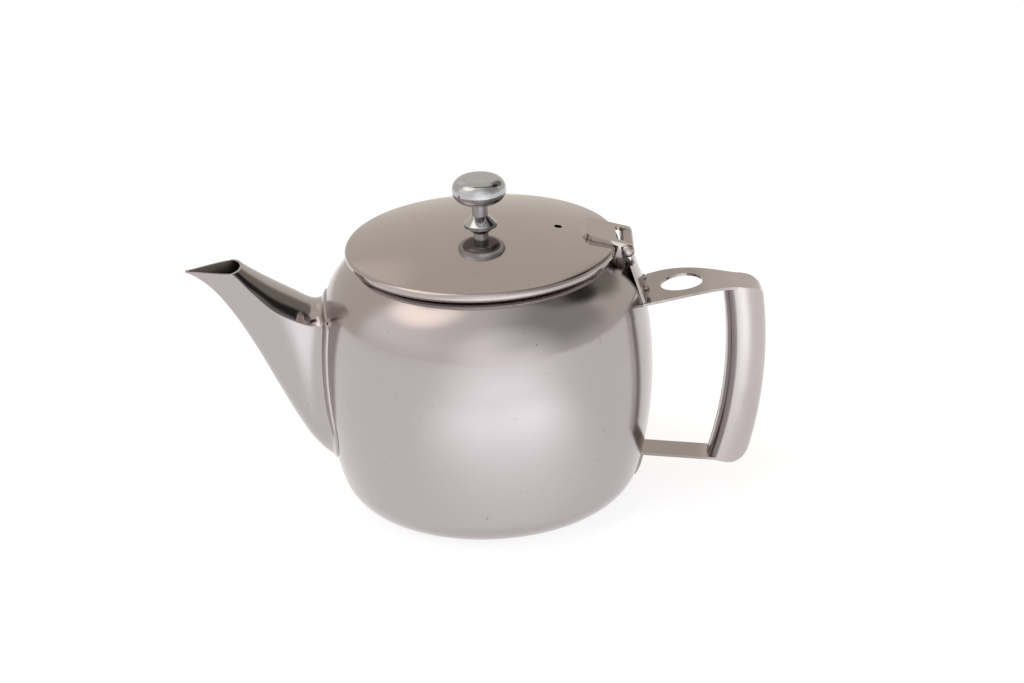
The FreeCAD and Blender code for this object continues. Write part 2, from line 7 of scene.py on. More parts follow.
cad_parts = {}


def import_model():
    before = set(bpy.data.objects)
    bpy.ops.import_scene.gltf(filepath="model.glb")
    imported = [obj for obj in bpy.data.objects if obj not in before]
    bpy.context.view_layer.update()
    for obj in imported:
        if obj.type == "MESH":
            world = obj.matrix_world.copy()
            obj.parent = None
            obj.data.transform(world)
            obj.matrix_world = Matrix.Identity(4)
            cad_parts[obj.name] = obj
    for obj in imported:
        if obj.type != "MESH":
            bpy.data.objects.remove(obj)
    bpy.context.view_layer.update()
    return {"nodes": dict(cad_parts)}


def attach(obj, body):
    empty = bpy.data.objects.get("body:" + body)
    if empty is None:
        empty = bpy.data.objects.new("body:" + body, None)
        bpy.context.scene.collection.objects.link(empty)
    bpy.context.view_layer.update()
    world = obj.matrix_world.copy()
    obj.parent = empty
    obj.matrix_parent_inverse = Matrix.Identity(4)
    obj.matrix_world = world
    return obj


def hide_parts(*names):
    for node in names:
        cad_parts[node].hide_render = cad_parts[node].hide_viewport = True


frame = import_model()

# Pot body
# A barrel drawn from one disc of stainless sheet and polished, with a flat base, a rounded shoulder and an
# upright collar that the lid closes over. Staggered strainer holes are punched in it behind the spout.

mm = 0.001
body_sheet = 0.8 * mm
body_radius = 60.0 * mm
widest_height = 52.4 * mm
side_arc = 141.0 * mm
base_corner = 16.6 * mm
shoulder_arc = 28.1 * mm
shoulder_level = 97.9 * mm
collar_radius = 45.0 * mm
collar_top = 96.78 * mm
neck_bend = 1.2 * mm
strainer_radius = 2.0 * mm
strainer_pitch = 7.0 * mm
strainer_row_step = strainer_pitch * math.sqrt(3) / 2
strainer_height = 48.0 * mm
strainer_rows = 5
strainer_row_holes = 3
around_steps = 216
window_columns = 2
window_rows = 2
row_lines = 2 * window_rows
base_steps, corner_steps, low_side_steps = 12, 26, 14
high_side_steps, shoulder_steps, neck_steps, collar_steps, rim_steps = 10, 40, 8, 4, 9
joined_digits = 7
cloud_detail, speck_detail, line_detail = 5.0, 2.0, 3.0
speck_scale = 700.0
speck_start, speck_full = 0.70, 0.78
speck_tone = (0.72, 0.70, 0.68)
line_relief = 0.3


def bend(centre, radius, start, end, steps):
    """Points (distance from axis, height) on an arc: the centre plus the radius times the cosine and the
    sine of the angles between two, in degrees."""
    turn = np.radians(np.linspace(start, end, steps))
    return np.stack([centre[0] + radius * np.cos(turn), centre[1] + radius * np.sin(turn)], -1)


def spun(outline, turns):
    """Grid of an outline (distance, height) turned about the pot's axis: the distance times the cosine and
    the sine of each turn, at the same height. Rows follow the outline."""
    distance, height = outline[:, :1], outline[:, 1:]
    flat = np.ones_like(turns)[None, :]
    return np.stack([distance * np.cos(turns), distance * np.sin(turns), height * flat], -1)


def punch(grid, rows, columns):
    """The same grid with the points inside a window left out, so that the window's faces go."""
    cut = grid.copy()
    cut[rows[0] + 1:rows[1], columns[0] + 1:columns[1]] = np.nan
    return cut


def hole_collar(surface, row_values, column_values, centre, size, steps=5):
    """Grid from a window's edge in to a round hole: straight lines in the surface's own two parameters."""
    low, high = row_values[0], row_values[-1]
    left, right = column_values[0], column_values[-1]
    rim_rows = np.concatenate([np.full(len(column_values), low), row_values[1:],
                               np.full(len(column_values) - 1, high), row_values[-2::-1]])
    rim_columns = np.concatenate([column_values, np.full(len(row_values) - 1, right),
                                  column_values[-2::-1], np.full(len(row_values) - 1, left)])
    turn = np.arctan2((rim_rows - centre[0]) / size[0], (rim_columns - centre[1]) / size[1])
    hole_rows = centre[0] + size[0] * np.sin(turn)
    hole_columns = centre[1] + size[1] * np.cos(turn)
    share = np.linspace(0, 1, steps)[:, None]
    rows = rim_rows + (hole_rows - rim_rows) * share
    columns = rim_columns + (hole_columns - rim_columns) * share
    return surface(rows, columns)


def grid_faces(rows, columns):
    """Corner numbers of a grid's four-sided faces, counted row by row."""
    first = np.arange(rows * columns).reshape(rows, columns)
    return np.stack([first[:-1, :-1], first[:-1, 1:], first[1:, 1:], first[1:, :-1]], -1).reshape(-1, 4)


def sheet_piece(name, groups, body, stands_for, crease=35):
    """One smooth piece from groups of point grids, each group with its own finish. Points in one place are
    joined, so seams, poles and edges close, and a face with two corners in one place becomes a triangle."""
    grids = [grid for group, _ in groups for grid in group]
    finish = np.repeat(np.arange(len(groups)), [len(group) for group, _ in groups])
    finish = np.repeat(finish, [(grid.shape[0] - 1) * (grid.shape[1] - 1) for grid in grids])
    points = np.concatenate([grid.reshape(-1, 3) for grid in grids])
    starts = np.cumsum([0] + [grid.shape[0] * grid.shape[1] for grid in grids])
    faces = np.concatenate([grid_faces(*grid.shape[:2]) + start for grid, start in zip(grids, starts)])
    whole = ~np.isnan(points[faces]).any((1, 2))
    faces, finish = faces[whole], finish[whole]
    used, faces = np.unique(faces, return_inverse=True)
    points, faces = points[used], faces.reshape(-1, 4)
    points, place = np.unique(np.round(points, joined_digits) + 0.0, axis=0, return_inverse=True)
    faces = place.reshape(-1)[faces]
    doubled = faces == np.roll(faces, -1, 1)
    square = ~doubled.any(1)
    folded = doubled.sum(1) == 1
    triangles = faces[folded][~doubled[folded]].reshape(-1, 3)
    mesh = bpy.data.meshes.new(name)
    mesh.from_pydata(points.tolist(), [], faces[square].tolist() + triangles.tolist())
    for _, material in groups:
        mesh.materials.append(material)
    mesh.polygons.foreach_set("material_index", np.concatenate([finish[square], finish[folded]]))
    shape = bmesh.new()
    shape.from_mesh(mesh)
    bmesh.ops.recalc_face_normals(shape, faces=shape.faces)
    shape.to_mesh(mesh)
    shape.free()
    mesh.shade_smooth()
    mesh.set_sharp_from_angle(angle=math.radians(crease))
    piece = bpy.data.objects.new(name, mesh)
    bpy.context.scene.collection.objects.link(piece)
    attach(piece, body)
    if stands_for:
        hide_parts(*stands_for)


def noise(tree, place, scale, detail):
    """Cloudy share over a place, finer with more scale and detail."""
    cloud = tree.nodes.new("ShaderNodeTexNoise")
    cloud.inputs["Scale"].default_value = scale
    cloud.inputs["Detail"].default_value = detail
    tree.links.new(place, cloud.inputs["Vector"])
    return cloud.outputs["Fac"]


def ramp(tree, value, low, high, start=0.0, end=1.0, how="LINEAR"):
    """A value mapped so that low gives start and high gives end, and held beyond them."""
    step = tree.nodes.new("ShaderNodeMapRange")
    step.interpolation_type = how
    step.inputs["From Min"].default_value = low
    step.inputs["From Max"].default_value = high
    step.inputs["To Min"].default_value = start
    step.inputs["To Max"].default_value = end
    tree.links.new(value, step.inputs["Value"])
    return step.outputs["Result"]


def blend(tree, share, under, over, how="MIX"):
    """Colour over laid on colour under by a share. Either may be a fixed colour or a socket."""
    mix = tree.nodes.new("ShaderNodeMix")
    mix.data_type = "RGBA"
    mix.blend_type = how
    tree.links.new(share, mix.inputs["Factor"])
    for colour, place in ((under, mix.inputs["A"]), (over, mix.inputs["B"])):
        if isinstance(colour, tuple):
            place.default_value = (*colour, 1)
        else:
            tree.links.new(colour, place)
    return mix.outputs["Result"]


def steel(name, light, dark, gloss, cloud, grain, grain_depth):
    """Metal with cloudy tone, dull specks, uneven gloss and fine polishing lines along one direction."""
    metal = bpy.data.materials.new(name)
    metal.use_nodes = True
    tree = metal.node_tree
    shader = tree.nodes["Principled BSDF"]
    shader.inputs["Metallic"].default_value = 1.0
    place = tree.nodes.new("ShaderNodeTexCoord").outputs["Object"]
    tone = blend(tree, noise(tree, place, cloud, cloud_detail), dark, light)
    specks = ramp(tree, noise(tree, place, speck_scale, speck_detail), speck_start, speck_full)
    tone = blend(tree, specks, tone, speck_tone, "MULTIPLY")
    stretch = tree.nodes.new("ShaderNodeMapping")
    stretch.inputs["Scale"].default_value = grain
    tree.links.new(place, stretch.inputs["Vector"])
    lines = noise(tree, stretch.outputs["Vector"], 1.0, line_detail)
    relief = tree.nodes.new("ShaderNodeBump")
    relief.inputs["Strength"].default_value = line_relief
    relief.inputs["Distance"].default_value = grain_depth
    tree.links.new(lines, relief.inputs["Height"])
    tree.links.new(tone, shader.inputs["Base Color"])
    tree.links.new(ramp(tree, lines, 0.0, 1.0, *gloss), shader.inputs["Roughness"])
    tree.links.new(relief.outputs["Normal"], shader.inputs["Normal"])
    return metal


# Centres and ends of the arcs, each of which runs smoothly into the next
side_centre = (body_radius - side_arc, widest_height)
corner_rise = base_corner - widest_height
corner_reach = side_centre[0] + math.sqrt((side_arc - base_corner) ** 2 - corner_rise ** 2)
corner_turn = math.degrees(math.atan2(corner_rise, corner_reach - side_centre[0]))
corner_centre = (corner_reach, base_corner)
shoulder_height = shoulder_level - shoulder_arc
shoulder_rise = shoulder_height - widest_height
shoulder_reach = side_centre[0] + math.sqrt((side_arc - shoulder_arc) ** 2 - shoulder_rise ** 2)
shoulder_turn = math.degrees(math.atan2(shoulder_rise, shoulder_reach - side_centre[0]))
shoulder_centre = (shoulder_reach, shoulder_height)
neck_reach = collar_radius + neck_bend
neck_rise = math.sqrt((shoulder_arc + neck_bend) ** 2 - (neck_reach - shoulder_reach) ** 2)
neck_turn = math.degrees(math.atan2(neck_rise, neck_reach - shoulder_reach))
neck_centre = (neck_reach, shoulder_height + neck_rise)
band_half = strainer_rows / 2 * strainer_row_step
band_heights = strainer_height + np.linspace(-band_half, band_half, strainer_rows * row_lines + 1)
turns = np.linspace(0, 2 * math.pi, around_steps + 1)


def side_turn(height, inset):
    """Angle on the bulging side's arc at a height, in degrees: the arc sine of rise over radius."""
    return math.degrees(math.asin((height - widest_height) / (side_arc - inset)))


def side_reach(height, inset):
    """Distance of the bulging side from the axis at a height: its centre plus the root of the arc's radius
    squared less the rise squared."""
    return side_centre[0] + np.sqrt((side_arc - inset) ** 2 - (height - widest_height) ** 2)


def below_band(inset):
    """Outline of the base, the base corner and the side up to the strainer band."""
    flat = np.stack([np.linspace(0, corner_reach, base_steps), np.full(base_steps, inset)], -1)
    corner = bend(corner_centre, base_corner - inset, -90, corner_turn, corner_steps)
    low = side_turn(band_heights[0], inset)
    side = bend(side_centre, side_arc - inset, corner_turn, low, low_side_steps)
    return np.concatenate([flat, corner[1:], side[1:]])


def above_band(inset):
    """Outline of the side above the strainer band, the shoulder, the neck and the collar."""
    high = side_turn(band_heights[-1], inset)
    side = bend(side_centre, side_arc - inset, high, shoulder_turn, high_side_steps)
    shoulder = bend(shoulder_centre, shoulder_arc - inset, shoulder_turn, neck_turn, shoulder_steps)
    neck = bend(neck_centre, neck_bend + inset, neck_turn + 180, 180, neck_steps)
    collar = np.stack([np.full(collar_steps, collar_radius - inset),
                       np.linspace(neck_centre[1], collar_top, collar_steps)], -1)
    return np.concatenate([side, shoulder[1:], neck[1:], collar[1:]])


def strainer_places():
    """Row and column, counted in grid lines, of each strainer hole's middle."""
    middle = around_steps // 2
    places = []
    for row in range(strainer_rows):
        count = strainer_row_holes - row % 2
        for place in range(count):
            aside = (2 * place - count + 1) * window_columns
            places.append((row * row_lines + window_rows, middle + aside))
    return places


def strainer_band(inset):
    """The side at the strainer's height, with a round hole in each of its windows."""
    def wall(heights, angles):
        reach = side_reach(heights, inset)
        return np.stack([reach * np.cos(angles), reach * np.sin(angles), heights], -1)

    band = wall(band_heights[:, None] + 0 * turns, turns + 0 * band_heights[:, None])
    size = (strainer_radius, strainer_radius / body_radius)
    grids = []
    for row, column in strainer_places():
        rows = (row - window_rows, row + window_rows)
        columns = (column - window_columns, column + window_columns)
        band = punch(band, rows, columns)
        heights = band_heights[rows[0]:rows[1] + 1]
        angles = turns[columns[0]:columns[1] + 1]
        centre = (band_heights[row], turns[column])
        grids.append(hole_collar(wall, heights, angles, centre, size))
    return [band] + grids


outer_band = strainer_band(0)
inner_band = strainer_band(body_sheet)
hole_walls = [np.stack([outer[-1], inner[-1]]) for outer, inner in zip(outer_band[1:], inner_band[1:])]
rim = np.stack([np.linspace(collar_radius, collar_radius - body_sheet, rim_steps),
                np.full(rim_steps, collar_top)], -1)
pot_outlines = [below_band(0), above_band(0), rim]
pot_outside = [spun(outline, turns) for outline in pot_outlines] + outer_band + hole_walls
lining_outlines = [above_band(body_sheet), below_band(body_sheet)]
pot_inside = [spun(outline, turns) for outline in lining_outlines] + inner_band
body_steel = steel("body_steel", light=(0.435, 0.395, 0.40), dark=(0.405, 0.368, 0.373), gloss=(0.14, 0.19),
                   cloud=18.0, grain=(40.0, 40.0, 900.0), grain_depth=0.01 * mm)
inside_steel = steel("inside_steel", light=(0.16, 0.135, 0.115), dark=(0.10, 0.082, 0.068),
                     gloss=(0.28, 0.42), cloud=30.0, grain=(60.0, 60.0, 900.0), grain_depth=0.02 * mm)
sheet_piece("pot_body_shell", [(pot_outside, body_steel), (pot_inside, inside_steel)], "pot", ["pot_body"])

# Spout
# A tapering tube of polished sheet with an arched top, flat sides and a rounded ridge below. It flares into
# a flange that is welded to the pot wall round the strainer, and its mouth is cut nearly level to a point.

spout_sheet = 0.8 * mm
top_slope = math.radians(39.0)
mouth_back = (87.2 * mm, 92.5 * mm)
mouth_tip = (106.5 * mm, 91.4 * mm)
inner_tip = 105.7 * mm
flange_station = 60.6 * mm
flange_width = 2.8 * mm
flange_spread = 1.2
flange_bevel = 0.3 * mm
flare_out = 2.6 * mm
flare_lift = 4.6 * mm
weld_gap = 0.02 * mm
base_search = (40.0 * mm, 80.0 * mm)
mouth_search = 75.0 * mm
halvings = 44
top_steps, edge_steps, side_steps, ridge_steps = 14, 14, 36, 20
skin_steps, flare_steps, inner_steps = 90, 12, 60

# Stations along the spout: reach from the pot's axis, heights of the ridge and of the top, half the width,
# and the roundings of the ridge and of the top's edges
spout_reach = np.array([50.0, 60.6, 64.2, 68.1, 75.6, 82.6, 89.4, 94.3, 97.9, 101.3, 104.2, 105.7,
                        106.5]) * mm
spout_ridge = np.array([21.3, 21.9, 26.1, 32.6, 47.3, 61.6, 73.8, 81.0, 85.2, 88.1, 90.0, 90.7, 91.0]) * mm
spout_top = np.array([77.2, 77.4, 78.9, 81.1, 85.4, 90.1, 95.2, 97.6, 98.0, 98.0, 98.0, 98.0, 98.0]) * mm
spout_half = np.array([12.2, 12.4, 12.9, 13.6, 13.6, 10.6, 7.5, 6.8, 5.8, 4.6, 3.2, 2.2, 1.2]) * mm
ridge_round = np.array([15.2, 15.0, 14.2, 13.0, 9.6, 6.6, 4.6, 3.6, 3.0, 2.4, 1.7, 1.3, 0.9]) * mm
edge_round = np.array([1.0] * 12 + [0.9]) * mm

# Each line along the spout lies on one part of its section (top, edge, side or ridge), at a share of it
part_steps = [top_steps, edge_steps, side_steps, ridge_steps]
line_part = np.repeat(np.arange(len(part_steps)), part_steps)[:, None]
line_share = np.concatenate([np.arange(steps) / steps for steps in part_steps[:-1]] +
                            [np.linspace(0, 1, ridge_steps)])[:, None]


def smooth_between(values, reach):
    """Value at a reach: a cubic between stations, with the slope of its two neighbours at each."""
    slope = np.gradient(values, spout_reach)
    span = np.clip(np.searchsorted(spout_reach, reach) - 1, 0, len(spout_reach) - 2)
    width = spout_reach[span + 1] - spout_reach[span]
    share = (reach - spout_reach[span]) / width
    start, end = values[span], values[span + 1]
    lift = slope[span] * width
    fall = slope[span + 1] * width
    return (start * (1 + 2 * share) * (1 - share) ** 2 + lift * share * (1 - share) ** 2 +
            end * share ** 2 * (3 - 2 * share) + fall * share ** 2 * (share - 1))


def spout_section(reach, inset):
    """Side distance and height on every line at its reach. The section is an arched top, an edge arc that
    carries on from it, a straight side and a ridge arc, all moved inwards by the inset."""
    edge = smooth_between(edge_round, reach)
    keel = smooth_between(ridge_round, reach)
    edge_y = smooth_between(spout_half, reach) - edge
    arch = edge_y / math.sin(top_slope)
    arch_z = smooth_between(spout_top, reach) - edge - arch
    edge_z = arch_z + arch * math.cos(top_slope)
    slant = smooth_between(np.gradient(spout_ridge, spout_reach), reach)
    keel_z = smooth_between(spout_ridge, reach) + keel + inset * (np.sqrt(1 + slant ** 2) - 1)
    edge_size, keel_size = edge - inset, keel - inset
    span = np.hypot(edge_y, keel_z - edge_z)
    lean = (edge_size - keel_size) / span
    upright = np.sqrt(1 - lean ** 2)
    normal_y = (-edge_y * lean - (keel_z - edge_z) * upright) / span
    normal_z = ((keel_z - edge_z) * lean - edge_y * upright) / span
    side_tilt = np.arctan2(normal_y, normal_z)
    top_turn = top_slope * line_share
    edge_turn = top_slope + (side_tilt - top_slope) * line_share
    keel_turn = side_tilt + (math.pi - side_tilt) * line_share
    start_y, start_z = edge_y + edge_size * normal_y, edge_z + edge_size * normal_z
    end_y, end_z = keel_size * normal_y, keel_z + keel_size * normal_z
    y = np.choose(line_part, [(arch + edge_size) * np.sin(top_turn),
                              edge_y + edge_size * np.sin(edge_turn),
                              start_y + (end_y - start_y) * line_share,
                              keel_size * np.sin(keel_turn)])
    z = np.choose(line_part, [arch_z + (arch + edge_size) * np.cos(top_turn),
                              edge_z + edge_size * np.cos(edge_turn),
                              start_z + (end_z - start_z) * line_share,
                              keel_z + keel_size * np.cos(keel_turn)])
    return y, z


def wall_reach(y, z):
    """Distance along X from the pot's axis to its wall, at a side distance and a height: the root of the
    wall's own distance squared less the side distance squared."""
    shoulder = shoulder_reach + np.sqrt(np.maximum(shoulder_arc ** 2 - (z - shoulder_height) ** 2, 0))
    side = side_reach(z, 0)
    join = widest_height + side_arc * math.sin(math.radians(shoulder_turn))
    return np.sqrt(np.where(z > join, shoulder, side) ** 2 - y ** 2)


def halved(near, far, before):
    """Reach on every line at which a test turns from true to false, found by halving."""
    for _ in range(halvings):
        middle = (near + far) / 2
        test = before(middle)
        near = np.where(test, middle, near)
        far = np.where(test, far, middle)
    return (near + far) / 2


def off_wall(inset, gap):
    """Reach on every line at which the skin, moved inwards by the inset, is a gap outside the wall."""
    shape = np.broadcast(line_share, inset, gap).shape

    def before(reach):
        return reach < wall_reach(*spout_section(reach, inset)) + gap
    return halved(np.full(shape, base_search[0]), np.full(shape, base_search[1]), before)


def at_mouth(inset, tip):
    """Reach on every line at which the skin meets the mouth's plane, or the tip where it stays below."""
    fall = (mouth_tip[1] - mouth_back[1]) / (mouth_tip[0] - mouth_back[0])

    def before(reach):
        return spout_section(reach, inset)[1] < mouth_back[1] + (reach - mouth_back[0]) * fall
    return halved(np.full(line_share.shape, mouth_search), np.full(line_share.shape, tip), before)


def spout_points(reach, inset):
    """Points of the skin: the section's side distance and height, at the reach towards the mouth."""
    y, z = spout_section(reach, inset)
    return np.stack([-reach, y, z], -1)


def flange_points(grow, gap):
    """Points of the flange's outline: the section at its station, grown and spread sideways, a gap off the
    wall."""
    y, z = spout_section(np.full(line_share.shape, flange_station), -grow)
    y = y * flange_spread
    return np.stack([-wall_reach(y, z) - gap, y, z], -1)


# The flare is a quarter round that leads from the flange into the skin
flare = np.radians(np.linspace(0, 90, flare_steps))[None, :]
flare_grow = flare_out * (1 - np.sin(flare))
flare_reach = off_wall(-flare_grow, spout_sheet + flare_lift * (1 - np.cos(flare)))
skin_share = np.linspace(0, 1, skin_steps)[None, 1:]
outer_end = at_mouth(0, mouth_tip[0])
inner_end = at_mouth(spout_sheet, inner_tip)
inner_start = off_wall(np.array([[spout_sheet]]), np.array([[weld_gap]]))
skin_start = flare_reach[:, -1:]
inner_share = np.linspace(1, 0, inner_steps)[None, :]
spout_skin = np.concatenate([
    flange_points(flange_width, weld_gap),
    flange_points(flange_width, spout_sheet - flange_bevel),
    flange_points(flange_width - flange_bevel, spout_sheet),
    spout_points(flare_reach, -flare_grow),
    spout_points(skin_start + (outer_end - skin_start) * skin_share, 0 * skin_share),
    spout_points(inner_end, np.array([[spout_sheet]]))], 1)
spout_bore = np.concatenate([
    spout_points(inner_start + (inner_end - inner_start) * inner_share, spout_sheet + 0 * inner_share),
    flange_points(flange_width, weld_gap)], 1)
other_side = (1, -1, 1)
mirror_steel = steel("mirror_steel", light=(0.435, 0.395, 0.40), dark=(0.405, 0.368, 0.373),
                     gloss=(0.05, 0.085), cloud=18.0, grain=(40.0, 40.0, 900.0), grain_depth=0.01 * mm)
sheet_piece("spout_shell", [([spout_skin, spout_skin * other_side], mirror_steel),
                            ([spout_bore, spout_bore * other_side], inside_steel)], "pot", ["spout"], 30)

# Handle
# One strip of steel: a hinge plate riveted on the shoulder, a broad arm with a round hole, a middle rolled
# into a hollow grip, and a lower arm with a tab on the wall. It is brushed, and painted shade darkens all
# but the grip.

# Painted shade on the handle: its tone is dimmed except beyond this reach and below this height, on the grip
unshaded_beyond = 82.0 * mm
unshaded_below = 77.0 * mm
shade_soft = 7.0 * mm
arm_shade_tone = (0.68, 0.66, 0.63)


def dress(node, material):
    """Put a finish into every material slot of a piece that keeps its built shape."""
    for place in frame["nodes"][node].material_slots:
        place.material = material


def soft_step(tree, value, low, high):
    """Share that goes from 0 at low to 1 at high with soft ends."""
    return ramp(tree, value, low, high, how="SMOOTHSTEP")


def product(tree, first, second):
    """Product of two shares."""
    times = tree.nodes.new("ShaderNodeMath")
    times.operation = "MULTIPLY"
    tree.links.new(first, times.inputs[0])
    tree.links.new(second, times.inputs[1])
    return times.outputs["Value"]


def paint_arm_shade(metal):
    """Keep a metal's full tone beyond a reach and below a height, where the grip is, and dim the rest with
    painted shade.
    """
    tree = metal.node_tree
    tone = tree.nodes["Principled BSDF"].inputs["Base Color"]
    unshaded_tone = tone.links[0].from_socket
    axes = tree.nodes.new("ShaderNodeSeparateXYZ")
    tree.links.new(tree.nodes["Texture Coordinate"].outputs["Object"], axes.inputs["Vector"])
    outward = soft_step(tree, axes.outputs["X"], unshaded_beyond - shade_soft, unshaded_beyond)
    downward = soft_step(tree, axes.outputs["Z"], unshaded_below + shade_soft, unshaded_below)
    arm_shade = ramp(tree, product(tree, outward, downward), 0.0, 1.0, 1.0, 0.0)
    tree.links.new(blend(tree, arm_shade, unshaded_tone, arm_shade_tone, "MULTIPLY"), tone)


handle_steel = steel("handle_steel", light=(0.56, 0.51, 0.51), dark=(0.42, 0.38, 0.38), gloss=(0.08, 0.22),
                     cloud=40.0, grain=(900.0, 900.0, 18.0), grain_depth=0.04 * mm)
# Painted shade: the hinge plate and the arms are darker than the grip
paint_arm_shade(handle_steel)
dress("handle", handle_steel)

# Rivets
# Two alike steel rivets with low round heads on both sides. They are closed through the hinge plate and the
# pot's shoulder, and hold the handle's upper end.

satin_steel = steel("satin_steel", light=(0.45, 0.40, 0.385), dark=(0.39, 0.35, 0.33), gloss=(0.09, 0.16),
                    cloud=40.0, grain=(300.0, 300.0, 2500.0), grain_depth=0.02 * mm)
dress("handle_rivets", satin_steel)

# Hinge pin
# A plain steel rod through the knuckles of the handle and of the lid's strap. Its ends are peened into
# small domes, so that it can't slide out.

dress("hinge_pin", satin_steel)

# Lid
# A shallow dome pressed from polished sheet, with its edge rolled under into a bead. It has a small vent
# hole on the hinge's side and a hole for the knob's screw in its middle.

lid_sheet = 0.8 * mm
dome_top = 104.8 * mm
bead_reach = 47.15 * mm
bead_radius = 1.95 * mm
bead_drop = 8.7 * mm
bead_curl = 235.0
vent_radius = 1.45 * mm
vent_reach = 27.6 * mm
vent_window = 2.4 * mm
screw_hole = 1.55 * mm
vent_lines = 3
inner_dome_steps, outer_dome_steps = 20, 18
outer_bead_steps, inner_bead_steps = 44, 32
dome_arc = (bead_reach ** 2 + bead_drop ** 2 - bead_radius ** 2) / (2 * (bead_drop - bead_radius))
dome_centre = (0.0, dome_top - dome_arc)
bead_centre = (bead_reach, dome_top - bead_drop)
lid_turns = turns - math.pi


def dome_surface(inset):
    """Dome as a function of distance from the axis and angle: its height is the ball's centre plus the root
    of the ball's radius squared less the distance squared."""
    def dome(distance, angles):
        height = dome_centre[1] + np.sqrt((dome_arc - inset) ** 2 - distance ** 2)
        return np.stack([distance * np.cos(angles), distance * np.sin(angles), height], -1)
    return dome


def dome_grids(inset, edge):
    """Dome from the screw hole to its edge, with a round vent hole in a window of the grid."""
    dome = dome_surface(inset)
    vent_rows = np.linspace(vent_reach - vent_window, vent_reach + vent_window, 2 * vent_lines + 1)
    rows = np.concatenate([np.linspace(screw_hole, vent_rows[0], inner_dome_steps)[:-1], vent_rows,
                           np.linspace(vent_rows[-1], edge, outer_dome_steps)[1:]])
    first = inner_dome_steps - 1
    middle = around_steps // 2
    columns = (middle - vent_lines, middle + vent_lines)
    sheet = dome(rows[:, None] + 0 * lid_turns, lid_turns + 0 * rows[:, None])
    sheet = punch(sheet, (first, first + 2 * vent_lines), columns)
    vent = hole_collar(dome, vent_rows, lid_turns[columns[0]:columns[1] + 1], (vent_reach, 0.0),
                       (vent_radius, vent_radius / vent_reach))
    return [sheet, vent]


# The dome runs smoothly into the bead, which starts where both share one direction
curl_start = math.degrees(math.atan2(dome_arc - bead_drop, bead_reach))
curl_end = curl_start - bead_curl
outer_bead = bend(bead_centre, bead_radius, curl_start, curl_end, outer_bead_steps)
inner_bead = bend(bead_centre, bead_radius - lid_sheet, curl_start, curl_end, inner_bead_steps)
bead_end = np.stack([outer_bead[-1], inner_bead[-1]])
top_dome = dome_grids(0, outer_bead[0, 0])
under_dome = dome_grids(lid_sheet, inner_bead[0, 0])
vent_wall = np.stack([top_dome[1][-1], under_dome[1][-1]])
screw_wall = np.stack([top_dome[0][0], under_dome[0][0]])
lid_outside = top_dome + [spun(outer_bead, lid_turns), spun(bead_end, lid_turns), vent_wall, screw_wall]
lid_inside = under_dome + [spun(inner_bead, lid_turns)]
lid_steel = steel("lid_steel", light=(0.44, 0.393, 0.383), dark=(0.41, 0.366, 0.356), gloss=(0.06, 0.10),
                  cloud=22.0, grain=(60.0, 60.0, 60.0), grain_depth=0.01 * mm)
sheet_piece("lid_shell", [(lid_outside, lid_steel), (lid_inside, inside_steel)], "lid", ["lid"], 40)

# Lid strap
# A leaf of thicker sheet spot-welded on the lid, its outer ends rolled round the hinge pin. Its two long
# edges are turned down onto the dome, so that no gap shows under the leaf, and are darker: painted shade for
# the shadow under it.

strap_length = 15.4 * mm
strap_half = 9.2 * mm
strap_corner = 2.5 * mm
strap_under = 1.1 * mm
strap_tilt = math.radians(16.57)
pin_reach = 52.0 * mm
pin_height = 95.57 * mm
edge_start = 5.9 * mm
edge_thick = 1.0 * mm
edge_lift = 0.02 * mm
edge_side_steps, edge_corner_steps = 12, 10
dress("lid_hinge_strap", satin_steel)


def strap_edge(inset):
    """Points under the leaf's edge and on the dome below it, along the side and round the front corner. The
    leaf rises from the pin by its tilt, and the dome's height is as in the lid."""
    turn = np.radians(np.linspace(0, 90, edge_corner_steps))
    straight_end = strap_length - strap_corner
    along = np.concatenate([np.linspace(edge_start, straight_end, edge_side_steps)[:-1],
                            straight_end + (strap_corner - inset) * np.sin(turn)])
    aside = np.concatenate([np.full(edge_side_steps - 1, strap_half - inset),
                            strap_half - strap_corner + (strap_corner - inset) * np.cos(turn)])
    x = pin_reach - along * math.cos(strap_tilt) + strap_under * math.sin(strap_tilt)
    high = pin_height + along * math.sin(strap_tilt) + strap_under * math.cos(strap_tilt)
    low = dome_centre[1] + np.sqrt(dome_arc ** 2 - x ** 2 - aside ** 2) + edge_lift
    return np.stack([x, aside, high], -1), np.stack([x, aside, low], -1)


outer_high, outer_low = strap_edge(0)
inner_high, inner_low = strap_edge(edge_thick)
edge_loop = np.stack([outer_high, outer_low, inner_low, inner_high, outer_high], 1)
edge_ends = [np.stack([edge_loop[end, :2], edge_loop[end, 3:1:-1]]) for end in (0, -1)]
near_edge = [edge_loop] + edge_ends
far_edge = [grid * other_side for grid in near_edge]
# The turned-down edges are a darker copy of the steel: painted shade for the shadow under the leaf
edge_painted_shade_steel = steel("edge_painted_shade_steel", light=(0.34, 0.295, 0.27), dark=(0.29, 0.25, 0.225), gloss=(0.18, 0.30),
                   cloud=60.0, grain=(300.0, 300.0, 2500.0), grain_depth=0.02 * mm)
sheet_piece("strap_edges", [(near_edge + far_edge, edge_painted_shade_steel)], "lid", [])

# Knob
# A bun on a slim stem with a conical foot, turned from one bar and chromed. It stands on the middle of the
# dome and is screwed on from inside the lid.

foot_radius = 5.95 * mm
foot_height = 3.5 * mm
foot_lip = 0.5 * mm
stem_radius = 2.85 * mm
bun_radius = 9.75 * mm
bun_low = dome_top + 8.7 * mm
bun_high = bun_low + 9.0 * mm
bun_edge = 4.3 * mm
knob_bore = dome_top + 8.0 * mm
bun_steps = 20


def straight(start, end, steps):
    """Points on a straight line: the start plus a share of the way to the end."""
    share = np.linspace(0, 1, steps)[:, None]
    return np.array(start) + (np.array(end) - np.array(start)) * share


